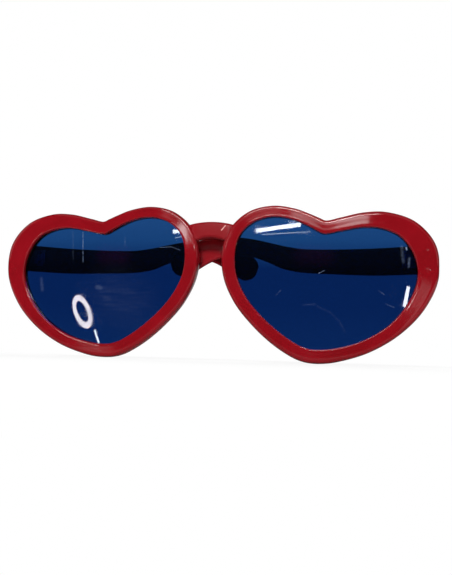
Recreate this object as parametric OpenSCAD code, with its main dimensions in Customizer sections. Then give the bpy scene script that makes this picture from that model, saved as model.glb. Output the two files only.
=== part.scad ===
// Jumbo novelty sunglasses with two heart-shaped rims, folded as they lie in the hand.
// X runs across the face, +X is the wearer's left; the front looks toward -Y; Z is up as worn.
// The origin is on the centre plane, at the front of the bow and at mid height of the hearts.

/* [Front] */
// width of one heart across its rim
heart_width = 130; // [110:1:136]
// height of one heart over its rim
heart_height = 95; // [80:1:105]
// distance between the middles of the two hearts
heart_spacing = 143.5; // [141:0.5:160]
// radius of the bow that the whole front follows
bow_radius = 1650; // [900:50:3000]
// depth of the rim from its flat face to its back
rim_depth = 6.5; // [5.5:0.5:7]
// how far the rim's front edge falls away at the outside
rim_roll = 3.2; // [2:0.2:3.6]
// how far the edge beside the lens lies behind the flat face
lip_drop = 1.2; // [0.8:0.1:1.4]

/* [Lens] */
// thickness of the tinted sheet
lens_thickness = 1.5; // [1:0.1:1.8]
// how far the sheet reaches into the groove of the rim
lens_bite = 1.5; // [1:0.1:1.8]
// play of the sheet in its groove
lens_play = 0.12; // [0.08:0.02:0.2]
// depth of the groove's front wall behind the flat face
groove_front = 2.3; // [2:0.1:2.6]

/* [Bridge] */
// height of the bridge bar at the centre plane
bridge_height = 10; // [7:0.2:12]
// height of the bar's middle over the middle of the hearts
bridge_level = 32.6; // [30:0.1:36]
// how far the upper edge of the bar falls toward the rims
bridge_fall = 1.8; // [1:0.2:3]
// how much higher the bar grows downward toward the rims
bridge_flare = 3.2; // [0:0.2:5]
// how far the ends of the bar sink behind the faces of the rims
bridge_tuck = 1.2; // [0:0.1:2]
// how far the bar stands out before the rims
bridge_stand = 0; // [0:0.1:2]
// power by which the bridge face turns back only near its ends
bridge_bend = 3.6; // [2:0.2:4]

/* [Temple] */
// length of a temple from the pin to its tip
temple_length = 158; // [140:1:160]
// height of a temple beside its hinge
temple_height = 16.4; // [14:0.2:20]
// thickness of a temple at the hinge
temple_thickness = 4.6; // [4:0.1:5]
// thickness of a temple at the tip
tip_thickness = 3.6; // [3:0.1:4]
// how far the tip curves in toward the head
tip_curve = 8.5; // [8:0.1:9]
// width of the rounding along the temple's edges
edge_round = 1.5; // [1:0.1:1.6]

/* [Hinge] */
// distance of each pin from the outer end of the front
pin_inset = 7; // [6.6:0.2:9]
// height of the hinge's middle
hinge_z = 13.8; // [11:0.2:16]
// how far the hinge block stands out behind the rim
block_stand = 0.3; // [0.2:0.1:0.8]
// radius of the hinge barrel
barrel_radius = 2; // [1.8:0.1:2]
// height of the whole barrel
barrel_height = 6.8; // [6:0.2:7]
// distance between the two front rivets, above and below the barrel
rivet_spacing = 12; // [12:0.2:13]
// play between two knuckles
knuckle_gap = 0.1; // [0.06:0.02:0.2]
// thickness of the leaves
leaf_thickness = 1; // [0.8:0.1:1]
// how far the plate of the temple leaf lies above the hinge's middle
leaf_lift = 3; // [2:0.2:3.4]
// distance from the pin to the outer faces of the leaves
leaf_offset = 2.2; // [2.1:0.05:2.3]
// radius of the hinge screw
screw_radius = 0.7; // [0.6:0.05:0.8]
// radial play of the screw and of the rivets in their holes
hole_play = 0.05; // [0.03:0.01:0.08]
// gap left under seated flat faces
seat_gap = 0.04; // [0.02:0.01:0.1]

/* [Rest] */
// angle of the inner temple to the frontal plane when folded
inner_angle = 0; // [0:0.5:1]
// angle of the outer temple to the frontal plane when folded
outer_angle = 7.5; // [7.5:0.5:12]

/* [Hidden] */
// heart stations, opening x and z and outline x and z, as shares of half the heart
// from its middle; x is counted away from the bridge, the first one is the notch
heart_shares = [
  [-0.04, 0.635, -0.025, 0.81],
  [-0.11, 0.675, -0.08, 0.84],
  [-0.205, 0.745, -0.165, 0.89],
  [-0.34, 0.82, -0.305, 0.96],
  [-0.52, 0.85, -0.515, 1],
  [-0.69, 0.785, -0.735, 0.93],
  [-0.81, 0.635, -0.905, 0.73],
  [-0.86, 0.41, -0.99, 0.425],
  [-0.845, 0.11, -0.97, 0.07],
  [-0.75, -0.17, -0.86, -0.255],
  [-0.6, -0.415, -0.69, -0.535],
  [-0.43, -0.615, -0.505, -0.76],
  [-0.305, -0.73, -0.355, -0.895],
  [-0.235, -0.78, -0.265, -0.955],
  [-0.15, -0.815, -0.165, -0.99],
  [-0.055, -0.82, -0.045, -0.995],
  [0.085, -0.795, 0.105, -0.965],
  [0.32, -0.695, 0.38, -0.84],
  [0.565, -0.48, 0.655, -0.605],
  [0.73, -0.185, 0.87, -0.285],
  [0.8, 0.105, 0.99, 0.095],
  [0.765, 0.38, 0.965, 0.51],
  [0.655, 0.595, 0.785, 0.8],
  [0.49, 0.7, 0.53, 0.92],
  [0.32, 0.72, 0.32, 0.915],
  [0.13, 0.675, 0.11, 0.85]
];
// temple stations, top edge along and up and bottom edge along and up: along as shares of
// the length, up as shares of the height from the hinge's middle; then the thickness share
temple_shares = [
  [0.2, 0.595, 0.2, -0.41, 1],
  [0.345, 0.555, 0.345, -0.375, 1],
  [0.46, 0.565, 0.465, -0.325, 1],
  [0.53, 0.655, 0.54, -0.205, 1],
  [0.6, 0.8, 0.61, 0.065, 1],
  [0.66, 0.92, 0.665, 0.235, 1],
  [0.72, 0.995, 0.71, 0.3, 1],
  [0.785, 1.02, 0.755, 0.28, 1],
  [0.84, 0.955, 0.8, 0.165, 1],
  [0.89, 0.79, 0.845, -0.045, 1],
  [0.93, 0.58, 0.88, -0.265, 1],
  [0.965, 0.38, 0.909, -0.455, 0.98],
  [0.984, 0.2, 0.935, -0.565, 0.9],
  [0.991, 0.02, 0.965, -0.5, 0.7],
  [0.99, -0.1, 0.981, -0.35, 0.4]
];
// where along the temple the tip starts to curve in
curve_start_share = 0.505;
heart_steps = 4;
temple_steps = 4;
round_facets = 48;
bow_facets = 720;

half_width = heart_width / 2;
half_height = heart_height / 2;
heart_x = heart_spacing / 2;
pin_x = heart_x + half_width - pin_inset;
block_near = pin_x - 2.6 * barrel_radius;
block_far = pin_x + 1.6 * barrel_radius;
block_y = on_bow(block_far, 0, rim_depth)[1] + block_stand;
groove_back = groove_front + lens_thickness + 2 * lens_play;
groove_deep = lens_bite + lens_play;
pin_y = block_y + leaf_offset;
butt_gap = leaf_offset - leaf_thickness - 3 * hole_play * 2;
screw_head_radius = leaf_offset - leaf_thickness - 4 * seat_gap;
knuckle = barrel_height / 3;
front_rivet_radius = 0.45 * barrel_radius;
front_rivet_x = pin_x - 0.35 * barrel_radius;
front_rivet_z = rivet_spacing / 2;
temple_rivet_radius = 0.4 * barrel_radius;
temple_rivet_along = 5.7 * barrel_radius;
temple_rivet_z = 0.28 * rivet_spacing;
rivet_head = 0.5 * leaf_thickness;
rivet_shank = 3.2 * leaf_thickness;
temple_leaf_reach = 7.3 * barrel_radius;
leaf_clear = 1.15 * barrel_radius;

// the pace of a curve over the way between two stations
function pace(way) = sqrt(norm(way));

// one point of a smooth curve through a, b, c, d, between b and c
function smooth(a, b, c, d, t) =
  let (k1 = pace(b - a), k2 = pace(c - b), k3 = pace(d - c))
  let (leave = (b - a) * k2 / k1 - (c - a) * k2 / (k1 + k2) + (c - b))
  let (reach = (c - b) - (d - b) * k2 / (k2 + k3) + (d - c) * k2 / k3)
  (2 * t * t * t - 3 * t * t + 1) * b + (t * t * t - 2 * t * t + t) * leave
  + (3 * t * t - 2 * t * t * t) * c + (t * t * t - t * t) * reach;

// a closed curve through all stations
function closed_curve(list, steps) = [
  for (i = [0 : len(list) - 1], k = [0 : steps - 1])
  let (n = len(list))
  smooth(list[(i + n - 1) % n], list[i], list[(i + 1) % n], list[(i + 2) % n], k / steps)
];

// an open curve through all stations, straight on at both ends
function open_curve(list, steps) = [
  for (i = [0 : len(list) - 2], k = [0 : steps - 1])
  let (n = len(list), a = (i == 0) ? 2 * list[0] - list[1] : list[i - 1])
  let (d = (i + 2 > n - 1) ? 2 * list[n - 1] - list[n - 2] : list[i + 2])
  smooth(a, list[i], list[i + 1], d, k / steps),
  list[len(list) - 1]
];

// a point of the flat pattern, at arc s, height z and depth d behind the bow
function on_bow(s, z, d) =
  let (turn = s / bow_radius * 180 / PI)
  [(bow_radius - d) * sin(turn), bow_radius - (bow_radius - d) * cos(turn), z];

// heart stations in lengths: opening, outline and the way from one to the other
heart_points = [
  for (h = heart_shares)
  [h[0] * half_width, h[1] * half_height, h[2] * half_width, h[3] * half_height]
];
stations = [
  for (h = closed_curve(heart_points, heart_steps))
  let (inner = [heart_x + h[0], h[1]], outer = [heart_x + h[2], h[3]])
  [inner, outer, (outer - inner) / norm(outer - inner), norm(outer - inner)]
];

// rim section at a station: distance from the opening and depth behind the flat face
function rim_section(w) = [
  [0, groove_front],
  [0, lip_drop],
  [0.03 * w, 0.4 * lip_drop],
  [0.12 * w, 0.04 * lip_drop],
  [0.32 * w, 0],
  [0.68 * w, 0.02 * rim_roll],
  [0.85 * w, 0.12 * rim_roll],
  [0.95 * w, 0.4 * rim_roll],
  [w, rim_roll],
  [w, rim_depth - 0.35 * lip_drop],
  [0.93 * w, rim_depth],
  [0.12 * w, rim_depth],
  [0.02 * w, rim_depth - 0.4 * lip_drop],
  [0, rim_depth - 0.9 * lip_drop],
  [0, groove_back],
  [groove_deep, groove_back],
  [groove_deep, groove_front]
];

// walls between rings of points that follow each other around a closed loop
module loop_solid(rings) {
  n = len(rings);
  m = len(rings[0]);
  polyhedron(
    points = [for (r = rings, q = r) q],
    faces = [
      for (i = [0 : n - 1], j = [0 : m - 1])
      let (a = i * m + j, b = i * m + (j + 1) % m)
      let (c = ((i + 1) % n) * m + (j + 1) % m, d = ((i + 1) % n) * m + j)
      each [[a, c, b], [a, d, c]]
    ],
    convexity = 8);
}

// walls between rings of points in a row, closed by a cap at both ends
module row_solid(rings) {
  n = len(rings);
  m = len(rings[0]);
  polyhedron(
    points = [for (r = rings, q = r) q],
    faces = concat(
      [
        for (i = [0 : n - 2], j = [0 : m - 1])
        let (a = i * m + j, b = i * m + (j + 1) % m)
        let (c = (i + 1) * m + (j + 1) % m, d = (i + 1) * m + j)
        each [[a, b, c], [a, c, d]]
      ],
      [[for (j = [m - 1 : -1 : 0]) j]],
      [[for (j = [0 : m - 1]) (n - 1) * m + j]]),
    convexity = 6);
}

// one rim, at +X
module rim() {
  loop_solid([
    for (s = stations)
    [for (q = rim_section(s[3])) on_bow(s[0][0] + s[2][0] * q[0], s[0][1] + s[2][1] * q[0], q[1])]
  ]);
}

// a flat-backed block on the rim that carries the front leaf, at +X
module hinge_block() {
  reach = rim_depth / 2;
  translate([block_near, block_y - reach, hinge_z - 0.67 * rivet_spacing])
    cube([block_far - block_near, reach, 1.34 * rivet_spacing]);
}

module rivet_holes() {
  for (up = [-1, 1])
    translate([front_rivet_x, block_y + leaf_thickness, hinge_z + up * front_rivet_z])
      rotate([90, 0, 0])
        cylinder(r = front_rivet_radius + hole_play, h = rivet_shank + leaf_thickness, $fn = round_facets);
}

// the bar between the rims, drawn right across the centre plane
module bridge() {
  reach = heart_x - 0.88 * half_width;
  row_solid([
    for (i = [-8 : 8])
    let (u = i / 8, x = u * reach, bend = pow(abs(u), bridge_bend))
    let (stand = bridge_stand * (1 - bend) - bridge_tuck * bend)
    let (up = bridge_height / 2 - bridge_fall * u * u)
    let (low = -bridge_height / 2 - (bridge_fall + bridge_flare) * u * u)
    let (round = 0.2 * bridge_height, back = rim_depth - lip_drop)
    [
      for (q = [
        [low, back - 0.5 * round], [low, round - stand], [low + 0.15 * round, 0.6 * round - stand],
        [low + 0.5 * round, 0.25 * round - stand], [low + 1.2 * round, -stand],
        [up - 1.2 * round, -stand], [up - 0.5 * round, 0.25 * round - stand],
        [up - 0.15 * round, 0.6 * round - stand], [up, round - stand],
        [up, back - 0.5 * round], [up - 0.5 * round, back], [low + 0.5 * round, back]
      ])
      on_bow(x, bridge_level + q[0], q[1] + 0.1 * rim_depth)
    ]
  ]);
}

module front_frame() {
  color([0.62, 0.05, 0.09])
    difference() {
      union() {
        rim();
        mirror([1, 0, 0]) rim();
        bridge();
        hinge_block();
        mirror([1, 0, 0]) hinge_block();
      }
      rivet_holes();
      mirror([1, 0, 0]) rivet_holes();
    }
}

// one lens, at +X: a sheet of the bow cut to the heart, its edge standing in the groove
module lens() {
  front = groove_front + lens_play;
  reach = 4 * rim_depth;
  edge = [
    for (s = stations)
    let (q = s[0] + s[2] * lens_bite)
    on_bow(q[0], q[1], front + lens_thickness / 2)
  ];
  color([0.05, 0.13, 0.42])
    intersection() {
      translate([0, reach, 0])
        rotate([90, 0, 0])
          linear_extrude(height = 2 * reach)
            polygon([for (e = edge) [e[0], e[2]]]);
      translate([0, bow_radius, -heart_height])
        difference() {
          cylinder(r = bow_radius - front, h = 2 * heart_height, $fn = bow_facets);
          cylinder(r = bow_radius - front - lens_thickness, h = 2 * heart_height, $fn = bow_facets);
        }
    }
}

module lens_left() {
  lens();
}

module lens_right() {
  mirror([1, 0, 0]) lens();
}

// temple edge stations in lengths, from the butt beyond the pin to the tip
temple_curve = open_curve(
  concat(
    [[-butt_gap / temple_length, 0.72, -butt_gap / temple_length, -0.34, 1]],
    temple_shares),
  temple_steps);

// share of the way through the curved end, none on the straight part
function curved(share) = max(0, (share - curve_start_share) / (1 - curve_start_share));

// how far the inner face lies from the pin at a given place along the temple
function face_at(along) =
  let (u = curved(along / temple_length))
  leaf_offset + seat_gap - tip_curve * u * u;

// one temple as folded, with the pin at the origin and the tip toward -X
module temple_body() {
  row_solid([
    for (t = temple_curve)
    let (top = [t[0] * temple_length, t[1] * temple_height])
    let (low = [t[2] * temple_length, t[3] * temple_height])
    let (high = norm(top - low), r = min(edge_round, 0.45 * high))
    let (thin = tip_thickness - temple_thickness, whole = temple_thickness + thin * curved(t[0] / 2 + t[2] / 2))
    let (thick = whole * t[4], skin = (whole - thick) / 2)
    [
      for (q = [
        [r, 0], [0.35 * r, 0.1 * thick], [0, 0.32 * thick], [0, 0.68 * thick],
        [0.35 * r, 0.9 * thick], [r, thick],
        [high - r, thick], [high - 0.35 * r, 0.9 * thick], [high, 0.68 * thick],
        [high, 0.32 * thick], [high - 0.35 * r, 0.1 * thick], [high - r, 0]
      ])
      let (p = low + (top - low) * (q[0] / high))
      [-p[0], face_at(p[0]) + skin + q[1], p[1]]
    ]
  ]);
}

module temple_holes() {
  for (up = [-1, 1])
    translate([-temple_rivet_along, leaf_offset - leaf_thickness, leaf_lift + up * temple_rivet_z])
      rotate([-90, 0, 0])
        cylinder(r = temple_rivet_radius + hole_play, h = rivet_shank + leaf_thickness, $fn = round_facets);
}

// puts a piece drawn about the pin at the +X hinge, opened by an angle
module at_hinge(angle) {
  translate([pin_x, pin_y, hinge_z]) rotate([0, 0, -angle]) children();
}

module temple() {
  color([0.60, 0.05, 0.09])
    difference() {
      temple_body();
      temple_holes();
    }
}

module temple_left() {
  at_hinge(inner_angle) temple();
}

module temple_right() {
  mirror([1, 0, 0]) at_hinge(outer_angle) temple();
}

// a knuckle between two heights over the hinge's middle
module knuckle_ring(low, high) {
  translate([0, 0, low])
    cylinder(r = barrel_radius, h = high - low, $fn = round_facets);
}

module screw_bore() {
  translate([0, 0, -barrel_height])
    cylinder(r = screw_radius + hole_play, h = 2 * barrel_height, $fn = round_facets);
}

// front leaf about the pin: two outer knuckles and the riveted plate, with a window for the third
module front_leaf() {
  gap = knuckle_gap / 2;
  color([0.78, 0.76, 0.72])
    difference() {
      union() {
        knuckle_ring(-1.5 * knuckle, -0.5 * knuckle - gap);
        knuckle_ring(0.5 * knuckle + gap, 1.5 * knuckle);
        translate([-2.5 * barrel_radius, -leaf_offset + seat_gap, -0.65 * rivet_spacing])
          cube([3.45 * barrel_radius, leaf_thickness, 1.3 * rivet_spacing]);
      }
      translate([-leaf_clear, -leaf_clear * 1.1, -0.5 * knuckle - gap])
        cube([2 * leaf_clear, 2.2 * leaf_clear, knuckle + 2 * gap]);
      screw_bore();
      for (up = [-1, 1])
        translate([front_rivet_x - pin_x, 0, up * front_rivet_z])
          rotate([90, 0, 0])
            cylinder(r = front_rivet_radius + hole_play, h = 2 * leaf_offset, $fn = round_facets);
    }
}

module hinge_front_leaf_left() {
  at_hinge(0) front_leaf();
}

module hinge_front_leaf_right() {
  mirror([1, 0, 0]) at_hinge(0) front_leaf();
}

// temple leaf about the pin, as folded: the middle knuckle, a tab and the riveted plate
module temple_leaf() {
  gap = knuckle_gap / 2;
  tab = 0.5 * knuckle - gap;
  color([0.78, 0.76, 0.72])
    difference() {
      union() {
        knuckle_ring(-tab, tab);
        translate([-leaf_clear - leaf_thickness, leaf_offset - leaf_thickness, -tab])
          cube([leaf_clear + leaf_thickness, leaf_thickness, 2 * tab]);
        translate([-temple_leaf_reach, leaf_offset - leaf_thickness, leaf_lift - 0.44 * rivet_spacing])
          cube([temple_leaf_reach - leaf_clear, leaf_thickness, 0.88 * rivet_spacing]);
      }
      screw_bore();
      for (up = [-1, 1])
        translate([-temple_rivet_along, 0, leaf_lift + up * temple_rivet_z])
          rotate([-90, 0, 0])
            cylinder(r = temple_rivet_radius + hole_play, h = 2 * leaf_offset, $fn = round_facets);
    }
}

module hinge_temple_leaf_left() {
  at_hinge(inner_angle) temple_leaf();
}

module hinge_temple_leaf_right() {
  mirror([1, 0, 0]) at_hinge(outer_angle) temple_leaf();
}

// slotted screw with its head on the upper knuckle
module hinge_screw() {
  color([0.85, 0.84, 0.80])
    difference() {
      union() {
        translate([0, 0, -1.5 * knuckle])
          cylinder(r = screw_radius, h = barrel_height + leaf_thickness / 2, $fn = round_facets);
        translate([0, 0, 1.5 * knuckle + seat_gap])
          cylinder(r = screw_head_radius, h = 0.8 * leaf_thickness, $fn = round_facets);
      }
      translate([-barrel_radius, -0.2 * leaf_thickness, 1.5 * knuckle + 0.5 * leaf_thickness])
        cube([2 * barrel_radius, 0.4 * leaf_thickness, leaf_thickness]);
    }
}

module hinge_screw_left() {
  at_hinge(0) hinge_screw();
}

module hinge_screw_right() {
  mirror([1, 0, 0]) at_hinge(0) hinge_screw();
}

// a rivet along +Y with its head at the origin's side
module rivet(radius) {
  rotate([-90, 0, 0]) {
    cylinder(r = radius, h = rivet_shank + leaf_thickness - 2 * seat_gap, $fn = round_facets);
    translate([0, 0, -rivet_head])
      cylinder(r = 1.6 * radius, h = rivet_head, $fn = round_facets);
  }
}

module front_rivets() {
  for (up = [-1, 1])
    translate([front_rivet_x - pin_x, -leaf_offset + leaf_thickness + 2 * seat_gap, up * front_rivet_z])
      mirror([0, 1, 0]) rivet(front_rivet_radius);
}

module front_rivets_left() {
  color([0.80, 0.79, 0.75]) at_hinge(0) front_rivets();
}

module front_rivets_right() {
  color([0.80, 0.79, 0.75]) mirror([1, 0, 0]) at_hinge(0) front_rivets();
}

module temple_rivets() {
  for (up = [-1, 1])
    translate([-temple_rivet_along, leaf_offset - leaf_thickness - seat_gap, leaf_lift + up * temple_rivet_z])
      rivet(temple_rivet_radius);
}

module temple_rivets_left() {
  color([0.80, 0.79, 0.75]) at_hinge(inner_angle) temple_rivets();
}

module temple_rivets_right() {
  color([0.80, 0.79, 0.75]) mirror([1, 0, 0]) at_hinge(outer_angle) temple_rivets();
}

front_frame();
lens_left();
lens_right();
temple_left();
temple_right();
hinge_front_leaf_left();
hinge_front_leaf_right();
hinge_temple_leaf_left();
hinge_temple_leaf_right();
hinge_screw_left();
hinge_screw_right();
front_rivets_left();
front_rivets_right();
temple_rivets_left();
temple_rivets_right();
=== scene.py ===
"""Looks of the heart sunglasses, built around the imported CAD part.

Lengths of the glasses are written in millimetres and turned to metres as a mesh is made; the
stage, the lamps and the camera are in metres. X runs across the face, the front looks toward
-Y, Z is up as worn. A depth d counts backward from the bow, the large cylinder that the whole
front follows.
"""

import math

import bpy
import numpy as np
from mathutils import Matrix, Vector


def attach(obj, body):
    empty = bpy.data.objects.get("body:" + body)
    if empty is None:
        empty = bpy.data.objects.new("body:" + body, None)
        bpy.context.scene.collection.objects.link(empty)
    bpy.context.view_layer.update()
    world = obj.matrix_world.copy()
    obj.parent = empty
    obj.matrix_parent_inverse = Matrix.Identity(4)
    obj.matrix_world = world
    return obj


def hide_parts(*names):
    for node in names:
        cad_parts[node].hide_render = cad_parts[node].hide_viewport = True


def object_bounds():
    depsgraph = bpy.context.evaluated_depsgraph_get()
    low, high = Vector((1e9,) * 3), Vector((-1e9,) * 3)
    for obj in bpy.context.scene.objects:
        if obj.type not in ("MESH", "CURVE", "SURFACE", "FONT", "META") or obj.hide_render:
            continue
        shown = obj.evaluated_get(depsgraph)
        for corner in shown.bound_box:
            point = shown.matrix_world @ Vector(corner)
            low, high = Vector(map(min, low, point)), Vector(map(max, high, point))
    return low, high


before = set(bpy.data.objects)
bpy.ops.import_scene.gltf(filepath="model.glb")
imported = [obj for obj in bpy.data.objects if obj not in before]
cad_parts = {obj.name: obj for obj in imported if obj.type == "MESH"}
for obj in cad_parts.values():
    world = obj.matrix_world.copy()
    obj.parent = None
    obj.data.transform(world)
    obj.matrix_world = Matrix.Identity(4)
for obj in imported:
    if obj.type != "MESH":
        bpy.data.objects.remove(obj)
cad_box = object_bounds()

MM = 0.001

# the front, as in the part's source
HALF_WIDTH, HALF_HEIGHT, HEART_X = 65.0, 47.5, 71.75
BOW_RADIUS = 1650.0
RIM_DEPTH, LIP_DROP = 6.5, 1.2
GROOVE_FRONT, GROOVE_BACK, GROOVE_DEEP = 2.3, 4.04, 1.62
LENS_FRONT, LENS_BACK, LENS_BITE = 2.42, 3.92, 1.5
BRIDGE_HEIGHT, BRIDGE_LEVEL, BRIDGE_STAND = 10.0, 32.6, 0.0
BRIDGE_FALL, BRIDGE_FLARE, BRIDGE_TUCK, BRIDGE_BEND = 1.8, 3.2, 1.2, 3.6
# where the bar ends inside the rims, as a share of half a heart's width, and how far it is set
# back, as a share of the rim's depth
BRIDGE_END, BRIDGE_SET = 0.88, 0.1

# the temples and the hinge, as in the part's source
TEMPLE_LENGTH, TEMPLE_HEIGHT = 158.0, 16.4
TEMPLE_THICK, TIP_THICK, TIP_CURVE = 4.6, 3.6, 8.5
CURVE_START = 0.505
PIN = (129.75, 14.33, 13.8)
EDGE_RADIUS, TEMPLE_STAND = 1.5, 2.24
OUTER_ANGLE = 7.5

# the block behind each rim that carries the hinge: half its width and height, where it starts
# inside the rim, where its straight part ends, its back, how far its middle lies inward of the
# pin, and the rounding at its back
BLOCK_WIDE, BLOCK_HIGH = 4.2, 8.04
BLOCK_START, BLOCK_STRAIGHT, BLOCK_BACK = 9.0, 11.5, 12.13
BLOCK_INSET, BLOCK_ROUND = 1.0, 0.5

# opening x and z and outline x and z of a heart, as shares of half its width and height
HEART = np.array([
    [-0.04, 0.635, -0.025, 0.81], [-0.11, 0.675, -0.08, 0.84], [-0.205, 0.745, -0.165, 0.89],
    [-0.34, 0.82, -0.305, 0.96], [-0.52, 0.85, -0.515, 1], [-0.69, 0.785, -0.735, 0.93],
    [-0.81, 0.635, -0.905, 0.73], [-0.86, 0.41, -0.99, 0.425], [-0.845, 0.11, -0.97, 0.07],
    [-0.75, -0.17, -0.86, -0.255], [-0.6, -0.415, -0.69, -0.535], [-0.43, -0.615, -0.505, -0.76],
    [-0.305, -0.73, -0.355, -0.895], [-0.235, -0.78, -0.265, -0.955],
    [-0.15, -0.815, -0.165, -0.99], [-0.055, -0.82, -0.045, -0.995],
    [0.085, -0.795, 0.105, -0.965], [0.32, -0.695, 0.38, -0.84], [0.565, -0.48, 0.655, -0.605],
    [0.73, -0.185, 0.87, -0.285], [0.8, 0.105, 0.99, 0.095], [0.765, 0.38, 0.965, 0.51],
    [0.655, 0.595, 0.785, 0.8], [0.49, 0.7, 0.53, 0.92], [0.32, 0.72, 0.32, 0.915],
    [0.13, 0.675, 0.11, 0.85]])

# top edge along and up and bottom edge along and up of a temple, as shares of its length and
# height, and the share of its thickness
TEMPLE = np.array([
    [-0.006, 0.72, -0.006, -0.34, 1], [0.2, 0.595, 0.2, -0.41, 1],
    [0.345, 0.555, 0.345, -0.375, 1], [0.46, 0.565, 0.465, -0.325, 1],
    [0.53, 0.655, 0.54, -0.205, 1], [0.6, 0.8, 0.61, 0.065, 1], [0.66, 0.92, 0.665, 0.235, 1],
    [0.72, 0.995, 0.71, 0.3, 1], [0.785, 1.02, 0.755, 0.28, 1], [0.84, 0.955, 0.8, 0.165, 1],
    [0.89, 0.79, 0.845, -0.045, 1], [0.93, 0.58, 0.88, -0.265, 1],
    [0.965, 0.38, 0.909, -0.455, 0.98], [0.984, 0.2, 0.935, -0.565, 0.9],
    [0.991, 0.02, 0.965, -0.5, 0.7], [0.99, -0.1, 0.981, -0.35, 0.4]])


# Shapes

def curve_through(points, steps, closed=False):
    """Smooth curve through rows of numbers. The pace from one row to the next is the root of
    their distance, the slope at a row is that of the parabola through it and its neighbours,
    and a cubic joins row to row. An open curve runs straight on at its ends."""
    p = np.asarray(points, float)
    if closed:
        a, b, c, d = (np.roll(p, s, axis=0) for s in (1, 0, -1, -2))
    else:
        e = np.vstack([2 * p[0] - p[1], p, 2 * p[-1] - p[-2]])
        a, b, c, d = e[:-3], e[1:-2], e[2:-1], e[3:]
    k1, k2, k3 = (np.sqrt(np.linalg.norm(q, axis=1))[:, None] for q in (b - a, c - b, d - c))
    leave = (b - a) * k2 / k1 - (c - a) * k2 / (k1 + k2) + (c - b)
    reach = (c - b) - (d - b) * k2 / (k2 + k3) + (d - c) * k2 / k3
    t = (np.arange(steps) / steps)[None, :, None]
    b, c, leave, reach = (q[:, None, :] for q in (b, c, leave, reach))
    out = ((2 * t ** 3 - 3 * t ** 2 + 1) * b + (t ** 3 - 2 * t ** 2 + t) * leave
           + (3 * t ** 2 - 2 * t ** 3) * c + (t ** 3 - t ** 2) * reach)
    out = out.reshape(-1, p.shape[1])
    return out if closed else np.vstack([out, p[-1]])


def on_bow(s, z, d):
    """Point at arc length s along the bow, height z and depth d: the radius is R - d and the
    angle s / R about an axis that stands at y = R."""
    turn = s / BOW_RADIUS
    return np.stack([(BOW_RADIUS - d) * np.sin(turn),
                     BOW_RADIUS - (BOW_RADIUS - d) * np.cos(turn), z + 0 * turn], axis=-1)


def make_piece(name, points, faces, body, material, nodes=(), sharp=35):
    """Mesh object of points in millimetres, turned outward by the sign of its volume, which is
    the sum over its triangles of a . (b x c) / 6."""
    p = np.asarray(points, float)
    tris = np.vstack([np.stack([f[:, 0], f[:, i], f[:, i + 1]], axis=1)
                      for f in faces for i in range(1, f.shape[1] - 1)])
    volume = np.einsum("ij,ij->i", p[tris[:, 0]], np.cross(p[tris[:, 1]], p[tris[:, 2]])).sum()
    rows = [r for f in faces for r in (f if volume > 0 else f[:, ::-1]).tolist()]
    mesh = bpy.data.meshes.new(name)
    mesh.from_pydata((p * MM).tolist(), [], rows)
    mesh.polygons.foreach_set("use_smooth", np.ones(len(mesh.polygons), bool))
    mesh.set_sharp_from_angle(angle=math.radians(sharp))
    mesh.materials.append(material)
    mesh.update()
    piece = bpy.data.objects.new(name, mesh)
    bpy.context.scene.collection.objects.link(piece)
    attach(piece, body)
    if nodes:
        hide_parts(*nodes)
    return piece


def grid_faces(rings, around, closed):
    """Quads between neighbouring rings of a grid numbered ring by ring, each ring closed."""
    i = np.arange(rings if closed else rings - 1)[:, None]
    j = np.arange(around)[None, :]
    k, m = (i + 1) % rings, (j + 1) % around
    return np.stack([i * around + j, i * around + m, k * around + m, k * around + j],
                    axis=-1).reshape(-1, 4)


def loft(points):
    """Faces of a row of closed rings with a flat cap at both ends."""
    n, m = points.shape[:2]
    ring = np.arange(m)[None, :]
    return [grid_faces(n, m, False), ring[:, ::-1], ring + (n - 1) * m]


def as_drawn(points):
    """The points as they are, at +X, which is the wearer's left."""
    return points


def mirrored(points):
    """The same points on the other side of the centre plane."""
    return points * np.array([-1.0, 1.0, 1.0])


SIDES = (("left", as_drawn), ("right", mirrored))


def heart_lines(steps):
    """Opening points, the unit direction from opening to outline and the rim's width, in
    millimetres of the flat pattern, for the heart at +X."""
    half = [HALF_WIDTH, HALF_HEIGHT, HALF_WIDTH, HALF_HEIGHT]
    h = curve_through(HEART * half, steps, closed=True) + [HEART_X, 0, HEART_X, 0]
    inner, outer = h[:, :2], h[:, 2:]
    reach = np.linalg.norm(outer - inner, axis=1)
    return inner, (outer - inner) / reach[:, None], reach


def rim_section():
    """The moulding's cross section as two columns of distance from the opening, one in shares
    of the rim's width and one in millimetres, then the depth. The edge at the lens is rounded,
    the face is flat, and a wider roll turns into the side."""
    front = curve_through([
        [0, 1.25], [0.01, 0.62], [0.035, 0.2], [0.07, 0.03], [0.10, 0.0], [0.4, 0.0],
        [0.68, 0.0], [0.74, 0.012], [0.80, 0.08], [0.87, 0.33], [0.935, 0.88], [0.977, 1.7],
        [1, 2.8]], 5)
    back = RIM_DEPTH
    rest = np.array([
        [1, 4.2], [1, back - 0.55], [0.985, back - 0.2], [0.95, back], [0.12, back],
        [0.05, back - 0.12], [0.01, back - 0.45], [0, back - 0.95]])
    q = np.vstack([front, rest])
    share, depth = q[:, 0], q[:, 1]
    groove = np.array([[0, GROOVE_BACK], [GROOVE_DEEP, GROOVE_BACK],
                       [GROOVE_DEEP, GROOVE_FRONT], [0, GROOVE_FRONT]])
    return (np.append(share, np.zeros(4)), np.append(np.zeros(len(share)), groove[:, 0]),
            np.append(depth, groove[:, 1]))


# where the front rivets behind the rim left small sinks in its face: across, up, how deep
SINKS = [(129.05, 7.8, 0.22), (129.05, 19.8, 0.14)]
SINK_RADIUS = 1.1


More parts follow.
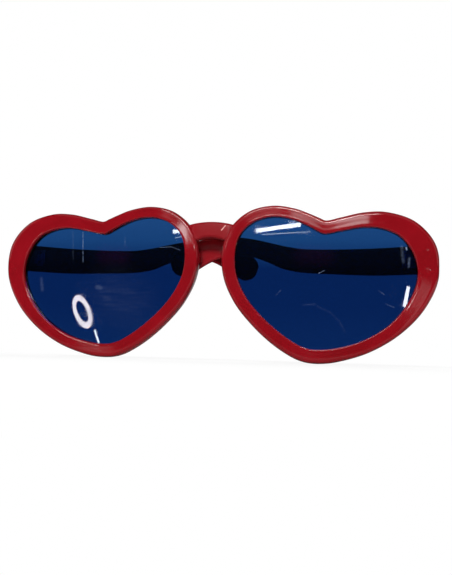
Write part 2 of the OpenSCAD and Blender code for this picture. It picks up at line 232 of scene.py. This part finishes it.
def rim_points(steps=20):
    """Section carried round the heart: the point at distance q from the opening lies at
    opening + direction * q on the bow, kept inside the CAD box across and up, and each sink
    adds depth e * exp(-(r / SINK_RADIUS)^2)."""
    inner, way, reach = heart_lines(steps)
    share, plus, depth = rim_section()
    q = share[None, :] * reach[:, None] + plus[None, :]
    s = inner[:, 0, None] + way[:, 0, None] * q
    z = inner[:, 1, None] + way[:, 1, None] * q
    d = np.broadcast_to(depth, q.shape).copy()
    for x, up, deep in SINKS:
        r2 = ((s - x) ** 2 + (z - up) ** 2) / SINK_RADIUS ** 2
        d = d + deep * np.exp(-r2) * (depth < GROOVE_FRONT)
    return on_bow(np.minimum(s, cad_box[1][0] / MM), np.minimum(z, cad_box[1][2] / MM), d)


def lens_points(steps=8, rings=14):
    """Sheet of the bow cut to the heart: rings shrink from the outline, which reaches into the
    groove, to the heart's middle, over the front and back again."""
    inner, way, reach = heart_lines(steps)
    edge = inner + way * LENS_BITE
    middle = np.array([HEART_X, -1.0])
    share = np.linspace(0.02, 1, rings)
    fan = middle + (edge - middle)[None] * share[:, None, None]
    front = on_bow(fan[..., 0], fan[..., 1], LENS_FRONT)
    back = on_bow(fan[..., 0], fan[..., 1], LENS_BACK)
    return np.concatenate([front, back[::-1]])


def bridge_points(count=49):
    """Bar section carried across the centre plane: the upper edge falls and the lower edge
    falls faster with the square of the distance, while the face stands out most in the middle
    and its ends sink behind the rims. Quarter turns round its four edges."""
    reach = HEART_X - BRIDGE_END * HALF_WIDTH
    u = np.linspace(-1, 1, count)[:, None]
    up = BRIDGE_HEIGHT / 2 - BRIDGE_FALL * u ** 2
    low = -BRIDGE_HEIGHT / 2 - (BRIDGE_FALL + BRIDGE_FLARE) * u ** 2
    bend = np.abs(u) ** BRIDGE_BEND
    stand = BRIDGE_STAND * (1 - bend) - BRIDGE_TUCK * bend
    back = RIM_DEPTH - LIP_DROP
    a = np.linspace(0, math.pi / 2, 9)[None, :]
    rise, draw = 1 - np.cos(a), 1 - np.sin(a)
    roll, small = 1.9, 0.8
    corners = [(low + roll * rise, -stand + roll * draw),
               (up - roll * rise[:, ::-1], -stand + roll * draw[:, ::-1]),
               (up - small * rise, back - small * draw + 0 * u),
               (low + small * rise[:, ::-1], back - small * draw[:, ::-1] + 0 * u)]
    z = np.hstack([c[0] for c in corners])
    d = np.hstack([c[1] for c in corners]) + BRIDGE_SET * RIM_DEPTH
    return on_bow(u * reach + 0 * z, BRIDGE_LEVEL + z, d)


def block_points():
    """Rounded block on the back of the rim: a superellipse of power 6 carried along y, drawn
    in at its free end by a quarter turn."""
    t = np.linspace(0, 2 * math.pi, 64, endpoint=False)
    x = np.sign(np.cos(t)) * np.abs(np.cos(t)) ** (1 / 3)
    z = np.sign(np.sin(t)) * np.abs(np.sin(t)) ** (1 / 3)
    turn = np.linspace(0, math.pi / 2, 6)
    y = np.concatenate([[BLOCK_START, BLOCK_STRAIGHT],
                        BLOCK_BACK - BLOCK_ROUND + BLOCK_ROUND * np.sin(turn)])
    draw = np.concatenate([[0, 0], BLOCK_ROUND * (1 - np.cos(turn))])
    middle = PIN[0] - BLOCK_INSET
    return np.stack([middle + x[None, :] * (BLOCK_WIDE - draw[:, None]),
                     y[:, None] + 0 * x[None, :],
                     PIN[2] + z[None, :] * (BLOCK_HIGH - draw[:, None])], axis=-1)


def temple_points(steps=14):
    """Bar carried from hinge to tip with the pin at the origin and the tip toward -X. Its
    section is a box with edges rounded over 1.5 mm, and its inner face bends by the square of
    the way past the start of the curved end."""
    t = curve_through(TEMPLE, steps)
    top = t[:, :2] * [TEMPLE_LENGTH, TEMPLE_HEIGHT]
    low = t[:, 2:4] * [TEMPLE_LENGTH, TEMPLE_HEIGHT]
    high = np.linalg.norm(top - low, axis=1)

    def bent(share):
        return np.maximum(0, (share - CURVE_START) / (1 - CURVE_START))

    whole = TEMPLE_THICK + (TIP_THICK - TEMPLE_THICK) * bent((t[:, 0] + t[:, 2]) / 2)
    thick = whole * t[:, 4]
    skin = (whole - thick) / 2
    # the rounding takes at most this share of the height, and this one of the thickness
    height_share, rounded_share = 0.45, 0.32
    r = np.minimum(EDGE_RADIUS, height_share * high)
    a = np.linspace(0, math.pi / 2, 7)
    # share of the thickness and distance from the lower edge in roundings, around the bar
    q, w = [], []
    for up, out in ((0, 0), (0, 1), (1, 1), (1, 0)):
        turn = a[::-1] if up == out else a
        dist = 1 - np.sin(turn)
        wide = rounded_share * (1 - np.cos(turn))
        q.append(np.stack([np.full(7, up), dist if up == 0 else -dist], 1))
        w.append(wide if out == 0 else 1 - wide)
    q, w = np.vstack(q), np.concatenate(w)
    along = (q[:, 0][None, :] * high[:, None] + q[:, 1][None, :] * r[:, None]) / high[:, None]
    p = low[:, None, :] + (top - low)[:, None, :] * along[..., None]
    face = TEMPLE_STAND - TIP_CURVE * bent(p[..., 0] / TEMPLE_LENGTH) ** 2
    y = face + skin[:, None] + w[None, :] * thick[:, None]
    return np.stack([-p[..., 0], y, p[..., 1]], axis=-1)


def at_hinge(points, angle):
    """Points drawn about the pin, swung back from the front by an angle, at the +X hinge."""
    c, s = math.cos(math.radians(angle)), math.sin(math.radians(angle))
    x, y, z = points[..., 0], points[..., 1], points[..., 2]
    return np.stack([PIN[0] + x * c + y * s, PIN[1] - x * s + y * c, PIN[2] + z], axis=-1)


# Finishes

def srgb(code):
    """Linear colour of an sRGB hex value."""
    v = [int(code[i:i + 2], 16) / 255 for i in (1, 3, 5)]
    return tuple(c / 12.92 if c <= 0.04045 else ((c + 0.055) / 1.055) ** 2.4 for c in v) + (1,)


def node(tree, kind, links=(), **settings):
    """One shader node. A setting with a capital first letter or a number sets an input socket,
    the rest are properties; links are (output socket, name or number of the input)."""
    n = tree.nodes.new(kind)
    for key, value in settings.items():
        name = key.replace("__", " ")
        if name in n.inputs.keys():
            n.inputs[name].default_value = value
        elif key[1:].isdigit():
            n.inputs[int(key[1:])].default_value = value
        else:
            setattr(n, key, value)
    for source, target in links:
        tree.links.new(source, n.inputs[target])
    return n


def blank_material(name):
    """A material with an empty node tree and its output."""
    m = bpy.data.materials.new(name)
    m.use_nodes = True
    m.node_tree.nodes.clear()
    return m, m.node_tree, m.node_tree.nodes.new("ShaderNodeOutputMaterial")


def colour_steps(ramp, *stops):
    """Sets the stops of a colour ramp, each a place and a hex colour or a grey."""
    e = ramp.color_ramp.elements
    while len(e) > 1:
        e.remove(e[-1])
    for i, (place, value) in enumerate(stops):
        stop = e[0] if i == 0 else e.new(place)
        stop.position = place
        stop.color = srgb(value) if isinstance(value, str) else (value, value, value, 1)


# roughness and specular level of a satin place, and the colour of a painted glint
SATIN_ROUGH, SATIN_SHINE, GLINT_COLOUR = 0.42, 0.12, "#E9B4AE"


def gloss_abs(name, deep, bright, smooth, rough, shine, rubbed=(), painted_glints=()):
    """Injection moulded high gloss ABS, dyed red through and through. The polished mould gives
    a mirror-like skin, which shrinkage leaves in slow waves about 14 mm long; handling adds
    hairlines and a faint haze and rubs some places satin. Pale strokes are painted highlights."""
    m, t, out = blank_material(name)
    at = node(t, "ShaderNodeTexCoord").outputs["Object"]
    cloud = node(t, "ShaderNodeTexNoise", [(at, "Vector")], Scale=60.0, Detail=2.0)
    dye = node(t, "ShaderNodeValToRGB", [(cloud.outputs[0], "Fac")])
    colour_steps(dye, (0.3, deep), (0.7, bright))
    haze = node(t, "ShaderNodeTexNoise", [(at, "Vector")], Scale=220.0, Detail=5.0, Roughness=0.65)
    dull = node(t, "ShaderNodeMapRange", [(haze.outputs[0], "Value")], **{
        "From__Min": 0.35, "From__Max": 0.75, "To__Min": smooth, "To__Max": rough})
    wave = node(t, "ShaderNodeTexNoise", [(at, "Vector")], Scale=70.0, Detail=0.0)
    # hairlines: thin edges of cells stretched along two directions
    turned = node(t, "ShaderNodeMapping", [(at, "Vector")], Rotation=(0.3, 0.7, 0.2),
                  Scale=(900.0, 900.0, 40.0))
    hair = node(t, "ShaderNodeTexNoise", [(turned.outputs[0], "Vector")], Scale=1.0, Detail=1.0)
    line = node(t, "ShaderNodeMapRange", [(hair.outputs[0], "Value")], **{
        "From__Min": 0.70, "From__Max": 0.78, "To__Min": 0.0, "To__Max": 1.0})
    bump1 = node(t, "ShaderNodeBump", [(wave.outputs[0], "Height")], Strength=0.1,
                 Distance=0.0002)
    bump2 = node(t, "ShaderNodeBump", [(line.outputs[0], "Height"),
                                       (bump1.outputs[0], "Normal")],
                 Strength=0.06, Distance=0.00003)
    skin = node(t, "ShaderNodeBsdfPrincipled", [
        (dye.outputs[0], "Base Color"), (dull.outputs[0], "Roughness"),
        (bump2.outputs[0], "Normal")], IOR=1.54, Specular__IOR__Level=shine)
    if rubbed:
        worn = node(t, "ShaderNodeClamp", [(marks_share(t, at, rubbed), "Value")])
        satin = node(t, "ShaderNodeMapRange", [
            (worn.outputs[0], "Value"), (dull.outputs[0], "To Min")], To__Max=SATIN_ROUGH)
        t.links.new(satin.outputs[0], skin.inputs["Roughness"])
        level = node(t, "ShaderNodeMapRange", [(worn.outputs[0], "Value")],
                     To__Min=shine, To__Max=SATIN_SHINE)
        t.links.new(level.outputs[0], skin.inputs["Specular IOR Level"])
    if painted_glints:
        # painted highlight: a pale colour mixed into the dye where the glint strokes lie
        pale = node(t, "ShaderNodeMixRGB", [
            (marks_share(t, at, painted_glints), "Fac"), (dye.outputs[0], "Color1")],
            Color2=srgb(GLINT_COLOUR))
        t.links.new(pale.outputs[0], skin.inputs["Base Color"])
    t.links.new(skin.outputs[0], out.inputs["Surface"])
    return m


# marks in the finish of the lenses, in millimetres across the face and up: both ends, how wide
# and how strong. Most are wipes, a thumb smudge and short scratches. The two near -25 across
# are a painted highlight, the light edge of the temple behind, and the three between 114 and
# 119 across are painted glints of the hinge behind
LENS_SMUDGES_AND_GLINTS = [
    ((-84.2, 32.0), (-83.2, 12.5), 0.35, 0.22), ((-91.2, 32.0), (-90.1, 14.5), 0.7, 0.03),
    ((-72.4, -3.6), (-70.6, -4.2), 2.6, 0.08), ((-70.0, -5.0), (-48.0, -6.6), 4.0, 0.016),
    ((-67.0, -10.0), (-64.0, -10.6), 2.6, 0.03), ((-66.0, -14.2), (-47.0, -16.0), 4.0, 0.016),
    ((-62.0, -8.0), (-50.0, -14.0), 26.0, 0.009), ((-111.8, 1.5), (-110.6, -5.5), 1.8, 0.05),
    ((-55.4, 27.8), (-55.2, 22.7), 0.7, 0.04), ((-32.1, 21.6), (-25.0, 22.1), 0.4, 0.14),
    ((-25.0, 22.1), (-19.2, 20.1), 0.4, 0.14), ((66.3, 6.5), (69.6, 8.2), 0.4, 0.25),
    ((41.1, -7.0), (44.1, -3.9), 0.5, 0.06), ((117.0, 22.4), (117.3, 21.2), 0.7, 0.40),
    ((114.4, 23.0), (115.4, 14.0), 1.4, 0.06), ((118.9, 16.2), (118.5, 11.0), 1.0, 0.10),
    ((101.5, -3.4), (104.6, -5.6), 0.45, 0.08), ((105.6, -11.0), (110.2, -13.0), 0.45, 0.07),
    ((57.5, -12.6), (64.5, -12.0), 0.9, 0.03), ((66.0, -13.5), (73.4, -16.6), 1.0, 0.014),
    ((73.4, -16.6), (79.0, -22.0), 1.0, 0.014), ((79.0, -22.0), (82.2, -28.0), 1.0, 0.014)]
# and two soft purple patches, a painted cast of the lit red temples seen through the lens
PAINTED_TEMPLE_CAST = [((-68.0, 17.0), (-57.0, 16.5), 10.0, 0.02),
                ((57.0, 17.5), (70.0, 17.0), 10.0, 0.015)]


def marks_share(t, at, marks):
    """How far a point lies in the marks: each one's strength falls off smoothly with the way to
    the line between its two ends, and the strongest counts."""
    total = None
    flat = node(t, "ShaderNodeVectorMath", [(at, 0)], operation="MULTIPLY", _1=(1, 0, 1))
    for start, end, wide, strong in marks:
        a, b = (Vector((p[0] * MM, 0.0, p[1] * MM)) for p in (start, end))
        way = node(t, "ShaderNodeVectorMath", [(flat.outputs[0], 0)], operation="SUBTRACT", _1=a)
        along = node(t, "ShaderNodeVectorMath", [(way.outputs[0], 0)], operation="DOT_PRODUCT",
                     _1=(b - a) / (b - a).length_squared)
        held = node(t, "ShaderNodeClamp", [(along.outputs["Value"], "Value")])
        foot = node(t, "ShaderNodeVectorMath", [(held.outputs[0], "Scale")], operation="SCALE",
                    _0=b - a)
        off = node(t, "ShaderNodeVectorMath", [(way.outputs[0], 0), (foot.outputs[0], 1)],
                   operation="DISTANCE")
        near = node(t, "ShaderNodeMapRange", [(off.outputs["Value"], "Value")],
                    interpolation_type="SMOOTHSTEP", **{
            "From__Min": 0.0, "From__Max": wide * MM, "To__Min": strong, "To__Max": 0.0})
        total = near.outputs[0] if total is None else node(
            t, "ShaderNodeMath", [(total, 0), (near.outputs[0], 1)],
            operation="MAXIMUM").outputs[0]
    return total


def tinted_acrylic(name):
    """Extruded acrylic sheet, dyed blue and cut to shape. It is clear and mirror smooth; its blue
    is paler toward the top and darkest a little below the middle. The marks scatter some light,
    broken up by fine wipes; some are painted glints and a painted purple cast of parts behind."""
    m, t, out = blank_material(name)
    at = node(t, "ShaderNodeTexCoord").outputs["Object"]
    split = node(t, "ShaderNodeSeparateXYZ", [(at, "Vector")])
    fade = node(t, "ShaderNodeMapRange", [(split.outputs["Z"], "Value")], **{
        "From__Min": -0.045, "From__Max": 0.045, "To__Min": 0.0, "To__Max": 1.0})
    tint = node(t, "ShaderNodeValToRGB", [(fade.outputs[0], "Fac")])
    colour_steps(tint, (0.0, "#08275C"), (0.35, "#042156"), (0.6, "#042156"), (0.8, "#164178"),
                 (0.92, "#1B467E"))
    smudge = node(t, "ShaderNodeTexNoise", [(at, "Vector")], Scale=75.0, Detail=4.0,
                  Roughness=0.6)
    film = node(t, "ShaderNodeMapRange", [(smudge.outputs[0], "Value")], **{
        "From__Min": 0.5, "From__Max": 0.8, "To__Min": 0.012, "To__Max": 0.07})
    wave = node(t, "ShaderNodeTexNoise", [(at, "Vector")], Scale=28.0, Detail=0.0)
    bump = node(t, "ShaderNodeBump", [(wave.outputs[0], "Height")], Strength=0.05,
                Distance=0.0003)
    glass = node(t, "ShaderNodeBsdfPrincipled", [
        (tint.outputs[0], "Base Color"), (film.outputs[0], "Roughness"),
        (bump.outputs[0], "Normal")], IOR=1.49)
    glass.inputs["Transmission Weight"].default_value = 1.0
    streak = node(t, "ShaderNodeMapping", [(at, "Vector")], Scale=(60.0, 60.0, 900.0))
    wipe = node(t, "ShaderNodeTexNoise", [(streak.outputs[0], "Vector")], Scale=1.0, Detail=2.0)
    uneven = node(t, "ShaderNodeMapRange", [(wipe.outputs[0], "Value")], **{
        "From__Min": 0.3, "From__Max": 0.7, "To__Min": 0.3, "To__Max": 1.5})
    total = node(t, "ShaderNodeMath", [(marks_share(t, at, LENS_SMUDGES_AND_GLINTS), 0),
                                       (uneven.outputs[0], 1)], operation="MULTIPLY").outputs[0]
    # one pale colour for the smudges and scratches and, at the marks near -25 and between 114 and
    # 119 across, a painted highlight
    grease_and_glint = node(t, "ShaderNodeBsdfPrincipled", Base__Color=srgb("#9FB4D8"), Roughness=0.5)
    mixed = node(t, "ShaderNodeMixShader", [(total, 0), (glass.outputs[0], 1),
                                            (grease_and_glint.outputs[0], 2)])
    # painted light: a purple diffuse colour that stands for the lit temples seen through the blue
    # lens
    sheen = node(t, "ShaderNodeBsdfDiffuse", Color=srgb("#6A2070"))
    with_temple_cast = node(t, "ShaderNodeMixShader", [(marks_share(t, at, PAINTED_TEMPLE_CAST), 0),
                                             (mixed.outputs[0], 1), (sheen.outputs[0], 2)])
    t.links.new(with_temple_cast.outputs[0], out.inputs["Surface"])
    return m


def stamped_steel(name, colour, rough, grain):
    """Nickel plated strip steel, stamped and tumbled. The grain is the number of lines in a
    metre along each axis. On the hinge leaves they run along the strip, 0.3 mm apart, coarser
    than real, so that they show; on rivets and screws they are even specks about 1 mm wide."""
    m, t, out = blank_material(name)
    at = node(t, "ShaderNodeTexCoord").outputs["Object"]
    long = node(t, "ShaderNodeMapping", [(at, "Vector")], Scale=grain)
    lines = node(t, "ShaderNodeTexNoise", [(long.outputs[0], "Vector")], Scale=1.0, Detail=3.0)
    tone = node(t, "ShaderNodeValToRGB", [(lines.outputs[0], "Fac")])
    colour_steps(tone, (0.3, colour[0]), (0.7, colour[1]))
    dull = node(t, "ShaderNodeMapRange", [(lines.outputs[0], "Value")], **{
        "From__Min": 0.3, "From__Max": 0.7, "To__Min": rough - 0.06, "To__Max": rough + 0.08})
    bump = node(t, "ShaderNodeBump", [(lines.outputs[0], "Height")], Strength=0.2,
                Distance=0.00004)
    steel = node(t, "ShaderNodeBsdfPrincipled", [
        (tone.outputs[0], "Base Color"), (dull.outputs[0], "Roughness"),
        (bump.outputs[0], "Normal")], Metallic=1.0)
    t.links.new(steel.outputs[0], out.inputs["Surface"])
    return m


def seen_straight(t, path):
    """One for what looks straight at a place or through glass, else zero."""
    return node(t, "ShaderNodeMath", [(path.outputs["Is Camera Ray"], 0),
                                      (path.outputs["Is Transmission Ray"], 1)],
                operation="MAXIMUM").outputs[0]


def white_stage(name, near, mirrored_near, mirrored_far):
    """Matt pale paper. What looks straight at it or through glass sees plain white by the near
    share up to 0.15 m from the glasses' middle, rising to all of it 0.4 m away. Mirrors see
    plain white by a smaller share, as the room is dim, and the rest is the lit paper, which
    keeps shadows."""
    m, t, out = blank_material(name)
    path = node(t, "ShaderNodeLightPath")
    at = node(t, "ShaderNodeTexCoord").outputs["Object"]
    away = node(t, "ShaderNodeVectorMath", [(at, 0)], operation="LENGTH")
    parts = []
    for ray, low, high in ((seen_straight(t, path), near, 1.0),
                           (path.outputs["Is Glossy Ray"], mirrored_near, mirrored_far)):
        share = node(t, "ShaderNodeMapRange", [(away.outputs["Value"], "Value")], **{
            "From__Min": 0.15, "From__Max": 0.4, "To__Min": low, "To__Max": high})
        parts.append(node(t, "ShaderNodeMath", [(ray, 0), (share.outputs[0], 1)],
                          operation="MULTIPLY").outputs[0])
    part = node(t, "ShaderNodeMath", [(parts[0], 0), (parts[1], 1)], operation="MAXIMUM")
    shade = node(t, "ShaderNodeValToRGB", [(path.outputs["Is Glossy Ray"], "Fac")])
    colour_steps(shade, (0.0, "#E6E6E6"), (1.0, "#808080"))
    paper = node(t, "ShaderNodeBsdfDiffuse", [(shade.outputs[0], "Color")])
    plain = node(t, "ShaderNodeEmission", Color=(1, 1, 1, 1), Strength=1.0)
    mix = node(t, "ShaderNodeMixShader", [(part.outputs[0], 0), (paper.outputs[0], 1),
                                          (plain.outputs[0], 2)])
    t.links.new(mix.outputs[0], out.inputs["Surface"])
    return m


# the bridge is kept satin, so that it mirrors none of the lamps, and the pale stroke on its
# right half is a painted highlight
BRIDGE_RUBBED = [((-6.0, 32.0), (6.0, 32.0), 10.0, 1.6)]
BRIDGE_PAINTED_GLINT = [((7.0, 32.2), (9.2, 34.9), 0.45, 0.9)]
red_front = gloss_abs("gloss_abs_red_front", "#730911", "#7E0B15", 0.045, 0.08, 0.5,
                      BRIDGE_RUBBED, BRIDGE_PAINTED_GLINT)
red_temple = gloss_abs("gloss_abs_red_temple", "#7D0E16", "#8A161F", 0.10, 0.18, 0.2)
blue_lens = tinted_acrylic("tinted_acrylic_blue")
hinge_steel = stamped_steel("stamped_nickel_steel", ("#A9A7A2", "#C4C2BC"), 0.30,
                            (400.0, 400.0, 3300.0))
rivet_steel = stamped_steel("tumbled_bright_steel", ("#BEBCB6", "#D6D4CE"), 0.22,
                            (900.0, 900.0, 900.0))


# Pieces

def build_front():
    """Two rims, the bar between them and the two hinge blocks stand for the moulded front."""
    rim = rim_points()
    faces = [grid_faces(rim.shape[0], rim.shape[1], True)]
    bar = bridge_points()
    block = block_points()
    for side, turn in SIDES:
        make_piece("rim_" + side, turn(rim).reshape(-1, 3), faces, "front",
                   red_front, ["front_frame"])
        make_piece("hinge_block_" + side, turn(block).reshape(-1, 3), loft(block), "front",
                   red_front, ["front_frame"])
    make_piece("bridge_bar", bar.reshape(-1, 3), loft(bar), "front", red_front,
               ["front_frame"])


def build_lenses():
    """One sheet in each rim stands for the lens."""
    sheet = lens_points()
    for side, turn in SIDES:
        make_piece("lens_sheet_" + side, turn(sheet).reshape(-1, 3), loft(sheet), "front",
                   blue_lens, ["lens_" + side])


def build_temples():
    """The same bar at both hinges, folded flat on the left and over the other on the right."""
    bar = temple_points()
    for (side, turn), angle in zip(SIDES, (0.0, OUTER_ANGLE)):
        make_piece("temple_bar_" + side, turn(at_hinge(bar, angle)).reshape(-1, 3), loft(bar),
                   side + "_temple", red_temple, ["temple_" + side])


def dress_metal():
    """The CAD hinges, screws and rivets stay and get their metal."""
    for name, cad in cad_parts.items():
        if name.startswith("hinge") or "rivets" in name:
            cad.data.materials.clear()
            cad.data.materials.append(rivet_steel if "rivets" in name or "screw" in name
                                      else hinge_steel)


build_front()
build_lenses()
build_temples()
dress_metal()


# Stage, lamps and camera

def flat_sheet(name, corners, material):
    """One flat face that belongs to the stage and not to the glasses."""
    mesh = bpy.data.meshes.new(name)
    mesh.from_pydata(corners, [], [(0, 1, 2, 3)])
    mesh.materials.append(material)
    sheet = bpy.data.objects.new(name, mesh)
    bpy.context.scene.collection.objects.link(sheet)
    return sheet


# the floor lies just under the glasses and reaches from behind the camera to behind the
# backdrop
FLOOR_Z = -0.0476
flat_sheet("floor", [(-4, -0.62, FLOOR_Z), (4, -0.62, FLOOR_Z), (4, 4, FLOOR_Z),
                     (-4, 4, FLOOR_Z)], white_stage("white_paper_floor", 0.86, 0.0, 0.45))
flat_sheet("backdrop", [(-1.7, 3.9, -0.2), (1.7, 3.9, -0.2), (1.7, 3.9, 2.6), (-1.7, 3.9, 2.6)],
           white_stage("white_paper_backdrop", 1.0, 0.4, 0.4))

# the world is white straight on and through glass. Matt surfaces get a weak fill from it, and
# mirrors see it nearly black, as the room is dim
world = bpy.data.worlds.new("room")
bpy.context.scene.world = world
world.use_nodes = True
wt = world.node_tree
wt.nodes.clear()
path = node(wt, "ShaderNodeLightPath")
fill = node(wt, "ShaderNodeMapRange", [(path.outputs["Is Diffuse Ray"], "Value")], **{
    "To__Min": 0.02, "To__Max": 0.07})
dim = node(wt, "ShaderNodeBackground", [(fill.outputs[0], "Strength")], Color=(1, 1, 1, 1))
white = node(wt, "ShaderNodeBackground", Color=(1, 1, 1, 1), Strength=1.0)
both = node(wt, "ShaderNodeMixShader", [(seen_straight(wt, path), 0), (dim.outputs[0], 1),
                                        (white.outputs[0], 2)])
wt.links.new(both.outputs[0], node(wt, "ShaderNodeOutputWorld").inputs["Surface"])


def stand(thing, right, up, back, place):
    """Puts a lamp or camera at a place, with its three axes given, and links it."""
    rows = [[float(v[i]) for v in (right, up, back, place)] for i in range(3)]
    thing.matrix_world = Matrix(rows + [[0, 0, 0, 1]])
    bpy.context.scene.collection.objects.link(thing)


def lamp(name, place, aim, size, watts, roll=0.0):
    """Square-on area lamp at a place in metres, turned to an aim and rolled about its line."""
    data = bpy.data.lights.new(name, "AREA")
    data.shape = "RECTANGLE"
    data.size, data.size_y = size
    data.energy = watts
    back = np.array(place, float) - np.array(aim, float)
    back /= np.linalg.norm(back)
    right = np.cross([0, 0, 1.0], back)
    right /= np.linalg.norm(right)
    up = np.cross(back, right)
    c, s = math.cos(math.radians(roll)), math.sin(math.radians(roll))
    thing = bpy.data.objects.new(name, data)
    thing.visible_camera = False
    stand(thing, right * c + up * s, up * c - right * s, back, place)
    return thing


# the key stands about 30 degrees above the front, so that the bridge's shadow ends halfway
# down the temple behind it; only a part of it shows in the gloss. The back box lights the far
# side, and the side boxes light the two ends
MIDDLE = (0.0, 0.0, 0.0)
KEY_PLACE = (-0.1, -1.2, 0.72)
key_light = lamp("key_box", KEY_PLACE, MIDDLE, (0.40, 0.22), 9.8)
key_light.visible_glossy = False
lamp("key_window", KEY_PLACE, MIDDLE, (0.5, 0.4), 9.0)
back_light = lamp("back_box", (0.3, 1.3, 0.9), MIDDLE, (1.2, 0.7), 20.0)
back_light.visible_glossy = False
lamp("ceiling_box", (0.1, -1.0, 1.5), MIDDLE, (2.6, 1.6), 3.5)
lamp("side_box_left", (-1.6, -0.6, 0.7), MIDDLE, (0.9, 0.9), 1.6)
lamp("side_box_right", (1.7, -0.5, 0.7), MIDDLE, (0.9, 0.9), 1.6)

# lamps in the room before the glasses, placed for their reflections as the camera sees them.
# They light the glasses too, the high tube the most. Each is a bar on the plane 1.2 m in front,
# from one end to the other, with its width and its brightness
ROOM_Y = -1.2


def bar_lamp(name, start, end, wide, bright):
    """Thin area lamp between two places of the plane, with a radiance in plain white."""
    a, b = np.array(start, float), np.array(end, float)
    mid, way = (a + b) / 2, b - a
    long = float(np.linalg.norm(way))
    roll = math.degrees(math.atan2(way[1], way[0]))
    place = (mid[0], ROOM_Y, mid[1])
    watts = bright * math.pi * long * wide
    return lamp(name, place, (mid[0], 0.0, mid[1]), (long, wide), watts, roll)


bar_lamp("tube_over_right_lens", (-0.1127, 0.2461), (0.03, 0.262), 0.009, 30.0)
bar_lamp("tube_echo", (-0.0925, 0.2374), (0.06, 0.2450), 0.0022, 7.0)
bar_lamp("tube_over_nose", (-0.394, 0.2478), (-0.370, 0.2478), 0.008, 28.0)
bar_lamp("tube_echo_over_nose", (-0.385, 0.2325), (-0.355, 0.2355), 0.002, 7.0)
bar_lamp("tube_at_outer_side", (0.3704, 0.1239), (0.3575, 0.077), 0.010, 25.0)
bar_lamp("panel_at_outer_side", (0.385, -0.02), (0.447, 0.125), 0.06, 0.75)
bar_lamp("tube_below_ring", (-0.6698, 0.0091), (-0.6501, -0.0239), 0.006, 25.0)
bar_lamp("panel_below_ring", (-0.735, -0.040), (-0.595, -0.050), 0.020, 0.5)
bar_lamp("window_over_nose", (-0.363, 0.263), (-0.321, 0.243), 0.034, 9.0)
bar_lamp("window_sill", (-0.357, 0.248), (-0.315, 0.228), 0.003, 24.0)
bar_lamp("wall_over_nose", (-0.43, 0.330), (-0.03, 0.330), 0.09, 0.7)
bar_lamp("panel_over_nose", (-0.283, 0.252), (-0.232, 0.252), 0.075, 1.1)
bar_lamp("tube_high", (-0.05, 0.60), (0.30, 0.64), 0.04, 90.0)
bar_lamp("panel_over_right_heart", (0.0, 0.290), (0.13, 0.290), 0.052, 2.3)
bar_lamp("window_over_right_heart", (0.13, 0.290), (0.240, 0.294), 0.052, 5.5)


def ring_lamp(name, middle, halves, hollow, roll, bright):
    """Elliptic lamp on the room's plane whose middle is dark: it shines only outside the
    ellipse that takes the hollow shares of its two half widths."""
    lit = lamp(name, (middle[0], ROOM_Y, middle[1]), (middle[0], 0.0, middle[1]),
               (2 * halves[0], 2 * halves[1]), 1.0, roll)
    lit.data.shape = "ELLIPSE"
    lit.data.energy = bright * math.pi * math.pi * halves[0] * halves[1]
    lit.data.use_nodes = True
    t = lit.data.node_tree
    t.nodes.clear()
    uv = node(t, "ShaderNodeNewGeometry").outputs["Parametric"]
    off = node(t, "ShaderNodeVectorMath", [(uv, 0)], operation="SUBTRACT", _1=(0.5, 0.5, 0))
    wide = node(t, "ShaderNodeVectorMath", [(off.outputs[0], 0)], operation="MULTIPLY",
                _1=(2 / hollow[0], 2 / hollow[1], 0))
    far = node(t, "ShaderNodeVectorMath", [(wide.outputs[0], 0)], operation="LENGTH")
    on = node(t, "ShaderNodeMath", [(far.outputs["Value"], 0)], operation="GREATER_THAN", _1=1.0)
    glow = node(t, "ShaderNodeEmission", [(on.outputs[0], "Strength")],
                Color=srgb("#FFF3EF"))
    t.links.new(glow.outputs[0], node(t, "ShaderNodeOutputLight").inputs["Surface"])
    return lit


ring_lamp("ring_lamp", (-0.7226, 0.0537), (0.0514, 0.0294), (0.66, 0.54), 135.0, 21.0)

# the camera that the photograph's outlines fit: about 430 mm away, looking in from 10.9 degrees
# to the right and 5.4 degrees below, rolled by 1.8 degrees
AZ, EL, ROLL = (math.radians(v) for v in (10.919, -5.424, 1.771))
EYE = (0.0920, -0.4197, -0.0437)
CAMERA_LENS = 44.48
back = np.array([math.sin(AZ) * math.cos(EL), -math.cos(AZ) * math.cos(EL), math.sin(EL)])
right = np.cross(-back, [0, 0, 1.0])
right /= np.linalg.norm(right)
up = np.cross(back, right)
right, up = (math.cos(ROLL) * right + math.sin(ROLL) * up,
             math.cos(ROLL) * up - math.sin(ROLL) * right)
camera_data = bpy.data.cameras.new("camera")
camera_data.lens = CAMERA_LENS
camera_data.sensor_width = 36.0
camera_data.clip_start = 0.01
camera = bpy.data.objects.new("camera", camera_data)
stand(camera, right, up, back, EYE)
bpy.context.scene.camera = camera
bpy.context.scene.view_settings.view_transform = "Standard"
